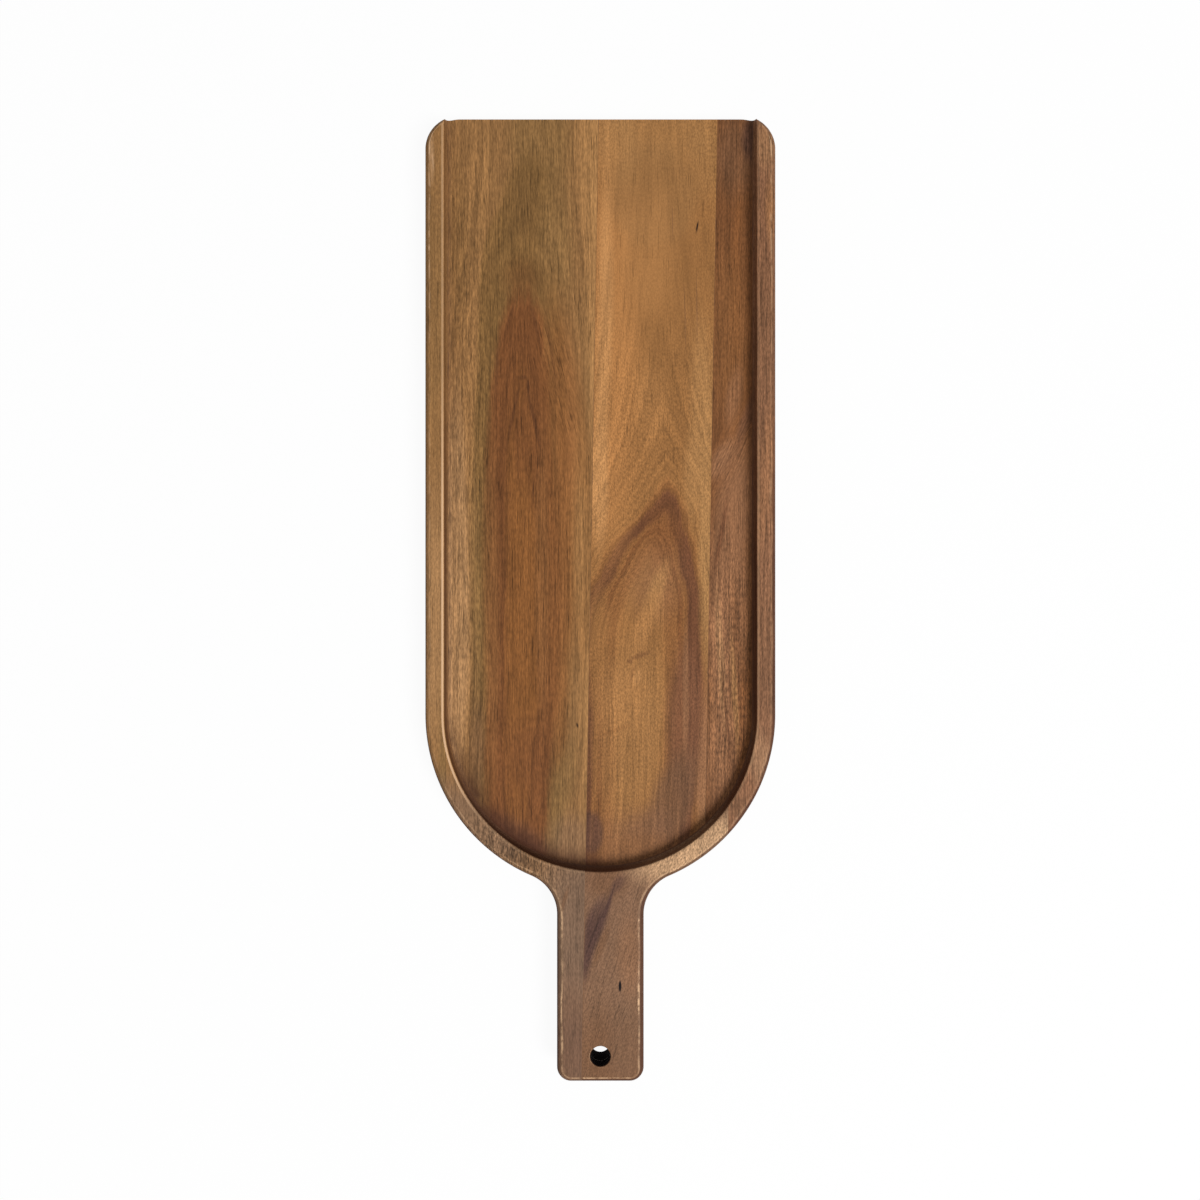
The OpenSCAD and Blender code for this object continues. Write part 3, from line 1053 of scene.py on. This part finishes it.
def pith_distance(graph, point, figure, sizes, seed):
    """Distance from the pith, with the uneven growth of the rings."""
    x, y, z = graph.split(point)
    floor_z = (sizes.base - sizes.rout) * PER_MM
    across = graph.math("SUBTRACT", x, graph.curve(y, figure.across))
    depth = graph.math("ADD", graph.curve(y, figure.depth), graph.math("SUBTRACT", z, floor_z))
    sides = [graph.math("POWER", graph.math("ABSOLUTE", side), figure.point) for side in (across, depth)]
    distance = graph.math("POWER", graph.math("ADD", *sides), 1 / figure.point)
    ruffle = graph.sway(graph.noise(point, RUFFLE, seed + 5), RUFFLE_MOST)
    feather = graph.sway(graph.noise(point, FEATHER, seed + 7), FEATHER_MOST)
    return graph.math("ADD", graph.math("ADD", distance, ruffle), feather)


def fine_grain(graph, point, dash_length, seed):
    """Noises of the short dashes, the long streaks and the open pores."""
    dashed = ((DASH_COUNT, 1 / dash_length, DASH_COUNT), *DASH_ROUGH)
    dashes = graph.noise(point, dashed, seed + 17)
    streaks = graph.noise(point, STREAKS, seed + 19)
    pores = graph.noise(point, PORES, seed + 23)
    return dashes, streaks, pores


def leaning_grain(graph, point, figure, seed):
    """Fine grain that follows the length of the board, and leans in a few places."""
    grain = fine_grain(graph, point, figure.dash_length, seed)
    for twist in figure.twists:
        leaning = fine_grain(graph, graph.turned(point, twist), figure.dash_length, seed)
        within = graph.oval(point, twist)
        grain = [graph.between(within, *pair) for pair in zip(grain, leaning)]
    return grain


def worn_and_highlighted_edges(graph, point, upward, outside, figure, seed):
    """How pale the crests of the outer edges and the inner lip of the rim are: the crests partly worn and
    partly a painted highlight, the lip a painted highlight.
    """
    _, along, height = graph.split(point)
    # Crests: partly wear, partly a painted highlight, stronger toward both ends
    crest = graph.times(
        graph.step(upward, *CREST_SLOPES, 0, figure.crest),
        outside,
        graph.step(graph.noise(point, SCUFFS, seed + 31), *SCUFFED),
        graph.step(graph.noise(point, STRETCHES, seed + 37), *STRETCHED),
        graph.greatest(graph.step(along, *HANDLE_WEAR_AND_HIGHLIGHT), graph.step(along, *OPEN_END_WEAR_AND_HIGHLIGHT)),
    )
    # Lip: painted highlight on the rim's inner edge, strongest on the left rail and midway along the board
    painted_lip_highlight = graph.times(
        graph.step(upward, *LIP_SLOPES, 0, figure.painted_lip_highlight),
        graph.less(outside, 1.0),
        graph.step(along, *LIP_FROM_OPEN_END),
        graph.step(along, *LIP_TO_ROUND_END),
    )
    eased = graph.times(graph.step(height, *WORN_AND_HIGHLIGHT_HEIGHT), graph.step(upward, *NOT_LEVEL))
    return graph.times(eased, graph.greatest(crest, painted_lip_highlight))


def wood(name, figure, colours, sizes, seed):
    """Oiled hardwood: rings around a pith, soft patches, fine grain, pores, worn edges with painted
    highlights, and painted shade on the sides, in the tray and in the hole.
    """
    graph = Graph(name)
    place = graph.node("ShaderNodeTexCoord")
    point = graph.scaled(place.outputs["Object"], PER_MM)
    upward = graph.split(place.outputs["Normal"])[2]

    # Grain wanders a little from side to side along the board
    flowing = graph.slide(point, graph.sway(graph.noise(point, WANDER, seed), WANDER_MOST))

    # Rings around the pith, and soft patches over them
    distance = pith_distance(graph, flowing, figure, sizes, seed)
    surface = graph.ramp(distance, figure.rings, colours)
    for patch in figure.patches:
        shade = (*getattr(colours, patch.colour), 1)
        surface = graph.mix(graph.oval(flowing, patch), surface, shade)

    # Outer sides and their eased edges are darker: painted shade
    reach = graph.reach(point, sizes)
    wall = (sizes.width / 2 - sizes.rim) * PER_MM
    inner, outer = RIM_MIDDLE
    outside = graph.step(reach, wall + inner, wall + outer)
    side = graph.times(graph.step(upward, *SIDE_FROM_TOP), graph.step(upward, *SIDE_FROM_BELOW), outside)

    # Fine grain
    lines = graph.noise(graph.joined(distance, graph.split(flowing)[1]), RING_LINES, seed + 11)
    dashes, streaks, pores = leaning_grain(graph, flowing, figure, seed)
    pore = graph.step(pores, *OPEN_PORES)
    strengths = [figure.ring_lines, figure.short_grain, figure.long_grain]
    if figure.coarse:
        more = graph.oval(flowing, figure.coarse)
        strengths = [graph.math("MULTIPLY_ADD", more, strength, strength) for strength in strengths]
    tone = graph.times(
        *(graph.swing(*pair) for pair in zip((lines, dashes, streaks), strengths)),
        graph.swing(graph.noise(flowing, BLOTCHES, seed + 29), BLOTCH_SHADE),
        graph.less(pore, figure.pores),
        graph.less(side, SIDE_PAINTED_SHADE),
    )
    shades = graph.node("ShaderNodeCombineColor", (tone, tone, tone))
    surface = graph.mix(1.0, surface, shades.outputs[0], "MULTIPLY")

    # Edges are worn pale and given a painted highlight, the tray's wall and cove are darkened by router
    # scorch and painted shade, and the wall of the hole gets darker painted shade still
    worn_and_painted_highlight = worn_and_highlighted_edges(graph, point, upward, outside, figure, seed)
    surface = graph.mix(worn_and_painted_highlight, surface, (*colours.worn_and_painted_highlight, 1))
    clear = SCORCH_AND_SHADE_CLEAR + LIP_CLEAR * figure.painted_lip_highlight
    surface = graph.scorched_and_painted_shade(surface, point, upward, sizes, colours, figure.scorch_and_painted_shade, clear)
    # Painted shade on the wall of the hole, nearly black
    hole = Oval(0, (sizes.hole_inset - sizes.handle_end) * PER_MM, 1, 1, 0)
    hole_r = sizes.hole / 2 * PER_MM
    painted_hole_shade = graph.step(graph.away(point, hole), hole_r + HOLE_FADE, hole_r)
    surface = graph.mix(painted_hole_shade, surface, (*colours.ink_and_hole_shade, 1))

    graph.set(graph.shader, "Base Color", surface)
    graph.set(graph.shader, "Roughness", graph.greatest(graph.step(streaks, *OILED), painted_hole_shade))
    graph.set(graph.shader, "Specular IOR Level", 0.12)
    relief = graph.math("MULTIPLY_ADD", pore, PORE_RELIEF, graph.times(dashes, DASH_RELIEF))
    bump = graph.node("ShaderNodeBump")
    graph.set(bump, "Height", relief)
    graph.set(bump, "Strength", 0.35)
    graph.set(bump, "Distance", RELIEF_DEPTH)
    graph.set(graph.shader, "Normal", bump.outputs[0])
    return graph.material


def dried_glue(colours, sizes):
    """Thin glue, darker where it has soaked into the wood."""
    graph = Graph("dried_glue")
    place = graph.node("ShaderNodeTexCoord")
    point = graph.scaled(place.outputs["Object"], PER_MM)
    upward = graph.split(place.outputs["Normal"])[2]
    mottle = graph.noise(point, MOTTLE)
    surface = graph.ramp(mottle, ((0.3, "plum"), (0.5, "glue"), (0.7, "brown")), colours)
    # Scorch and painted shade by the tray's wall, as on the wood
    surface = graph.scorched_and_painted_shade(surface, point, upward, sizes, colours)
    graph.set(graph.shader, "Base Color", surface)
    graph.set(graph.shader, "Roughness", graph.step(mottle, *GLUE_SHEEN))
    graph.set(graph.shader, "Specular IOR Level", 0.3)
    return graph.material


def pale_floor(colours, stage):
    """Pale floor that keeps the board's shadow, mostly white to the camera."""
    graph = Graph("pale_floor")
    graph.set(graph.shader, "Base Color", (*colours.floor, 1))
    graph.set(graph.shader, "Roughness", 0.9)
    glow = graph.node("ShaderNodeEmission")
    graph.set(glow, "Strength", 1.0)
    rays = graph.node("ShaderNodeLightPath")
    kinds = ("Is Camera Ray", "Is Glossy Ray", "Is Transmission Ray")
    seen = graph.greatest(*(rays.outputs[kind] for kind in kinds))
    blend = graph.node("ShaderNodeMixShader")
    graph.set(blend, 0, graph.math("MULTIPLY", seen, stage.floor_glow))
    graph.set(blend, 1, graph.shader.outputs[0])
    graph.set(blend, 2, glow.outputs[0])
    graph.set(graph.tree.nodes["Material Output"], "Surface", blend.outputs[0])
    return graph.material


# Operators

def make_wooden(context, pieces):
    """Makes pieces of wood, each with a figure of its own."""
    scene = context.scene
    for piece in pieces:
        solid = make_piece(scene.board_sizes, piece)
        seed = SEED_STEP * (list(FIGURES).index(piece.node) + 1)
        look = wood(piece.slot, FIGURES[piece.node], scene.board_colours, scene.board_sizes, seed)
        solid.data.materials.clear()
        solid.data.materials.append(look)


class BOARD_OT_base_staves(bpy.types.Operator):
    """Builds the three staves of the base panel"""

    bl_idname = "board.base_staves"
    bl_label = "Base Staves"

    def execute(self, context):
        make_wooden(context, BASE_STAVES)
        return {"FINISHED"}


class BOARD_OT_top_pieces(bpy.types.Operator):
    """Builds the two rails and the handle block of the top panel"""

    bl_idname = "board.top_pieces"
    bl_label = "Rails and Handle"

    def execute(self, context):
        make_wooden(context, TOP_PIECES)
        return {"FINISHED"}


class BOARD_OT_glue_films(bpy.types.Operator):
    """Builds the glue films between the staves and between the panels"""

    bl_idname = "board.glue_films"
    bl_label = "Glue Films"

    def execute(self, context):
        look = dried_glue(context.scene.board_colours, context.scene.board_sizes)
        for piece in GLUE_FILMS:
            film = make_piece(context.scene.board_sizes, piece)
            film.data.materials.clear()
            film.data.materials.append(look)
        return {"FINISHED"}


class BOARD_OT_stage(bpy.types.Operator):
    """Builds the floor, the soft light and the camera above the board"""

    bl_idname = "board.stage"
    bl_label = "Stage"

    def execute(self, context):
        scene = context.scene
        stage = scene.board_stage
        self.make_floor(scene, stage)
        self.make_light(scene, stage)
        self.make_camera(scene, stage)
        scene.view_settings.view_transform = "Standard"
        return {"FINISHED"}

    def make_floor(self, scene, stage):
        half = stage.floor_size / 2
        mesh = bpy.data.meshes.new("floor")
        corners = [(x * half, y * half, -FLOOR_GAP) for x, y in ((-1, -1), (1, -1), (1, 1), (-1, 1))]
        mesh.from_pydata(corners, [], [(0, 1, 2, 3)])
        mesh.materials.append(pale_floor(scene.board_colours, stage))
        floor = bpy.data.objects.new("floor", mesh)
        scene.collection.objects.link(floor)

    def make_light(self, scene, stage):
        lamp = bpy.data.lights.new("key", "AREA")
        lamp.shape = "DISK"
        lamp.size = stage.key_size
        lamp.energy = stage.key_watts
        key = bpy.data.objects.new("key", lamp)
        towards = Vector(KEY_FROM).normalized()
        key.location = towards * stage.key_distance
        key.rotation_euler = towards.to_track_quat("Z", "Y").to_euler()
        scene.collection.objects.link(key)

        world = bpy.data.worlds.new("studio")
        world.use_nodes = True
        tree = world.node_tree
        around = tree.nodes["Background"]
        around.inputs["Color"].default_value = (1, 1, 1, 1)
        around.inputs["Strength"].default_value = stage.ambient
        white = tree.nodes.new("ShaderNodeBackground")
        white.inputs["Color"].default_value = (1, 1, 1, 1)
        rays = tree.nodes.new("ShaderNodeLightPath")
        blend = tree.nodes.new("ShaderNodeMixShader")
        tree.links.new(rays.outputs["Is Camera Ray"], blend.inputs[0])
        tree.links.new(around.outputs[0], blend.inputs[1])
        tree.links.new(white.outputs[0], blend.inputs[2])
        tree.links.new(blend.outputs[0], tree.nodes["World Output"].inputs["Surface"])
        scene.world = world

    def make_camera(self, scene, stage):
        lens = bpy.data.cameras.new("camera")
        lens.sensor_width = SENSOR_WIDTH
        lens.lens = lens.sensor_width * stage.view_height / stage.view_span
        camera = bpy.data.objects.new("camera", lens)
        camera.location = (*VIEW_SHIFT, scene.board_sizes.thickness + stage.view_height)
        scene.collection.objects.link(camera)
        scene.camera = camera


class BOARD_PT_panel(bpy.types.Panel):
    """Lists the steps that build the board"""

    bl_idname = "BOARD_PT_panel"
    bl_label = "Paddle Serving Board"
    bl_space_type = "VIEW_3D"
    bl_region_type = "UI"
    bl_category = "Board"

    def draw(self, context):
        for operator in OPERATORS:
            self.layout.operator(operator.bl_idname)
        for group in (context.scene.board_sizes, context.scene.board_colours, context.scene.board_stage):
            column = self.layout.column()
            for name in group.__annotations__:
                column.prop(group, name)


OPERATORS = (BOARD_OT_base_staves, BOARD_OT_top_pieces, BOARD_OT_glue_films, BOARD_OT_stage)
GROUPS = {"board_sizes": BoardSizes, "board_colours": BoardColours, "board_stage": BoardStage}


def register():
    for item in (*GROUPS.values(), *OPERATORS, BOARD_PT_panel):
        bpy.utils.register_class(item)
    for name, group in GROUPS.items():
        setattr(bpy.types.Scene, name, PointerProperty(type=group))


def unregister():
    for name in GROUPS:
        delattr(bpy.types.Scene, name)
    for item in reversed((*GROUPS.values(), *OPERATORS, BOARD_PT_panel)):
        bpy.utils.unregister_class(item)


def main():
    register()
    bpy.ops.board.base_staves()
    bpy.ops.board.top_pieces()
    bpy.ops.board.glue_films()
    bpy.ops.board.stage()


if __name__ == "__main__":
    main()
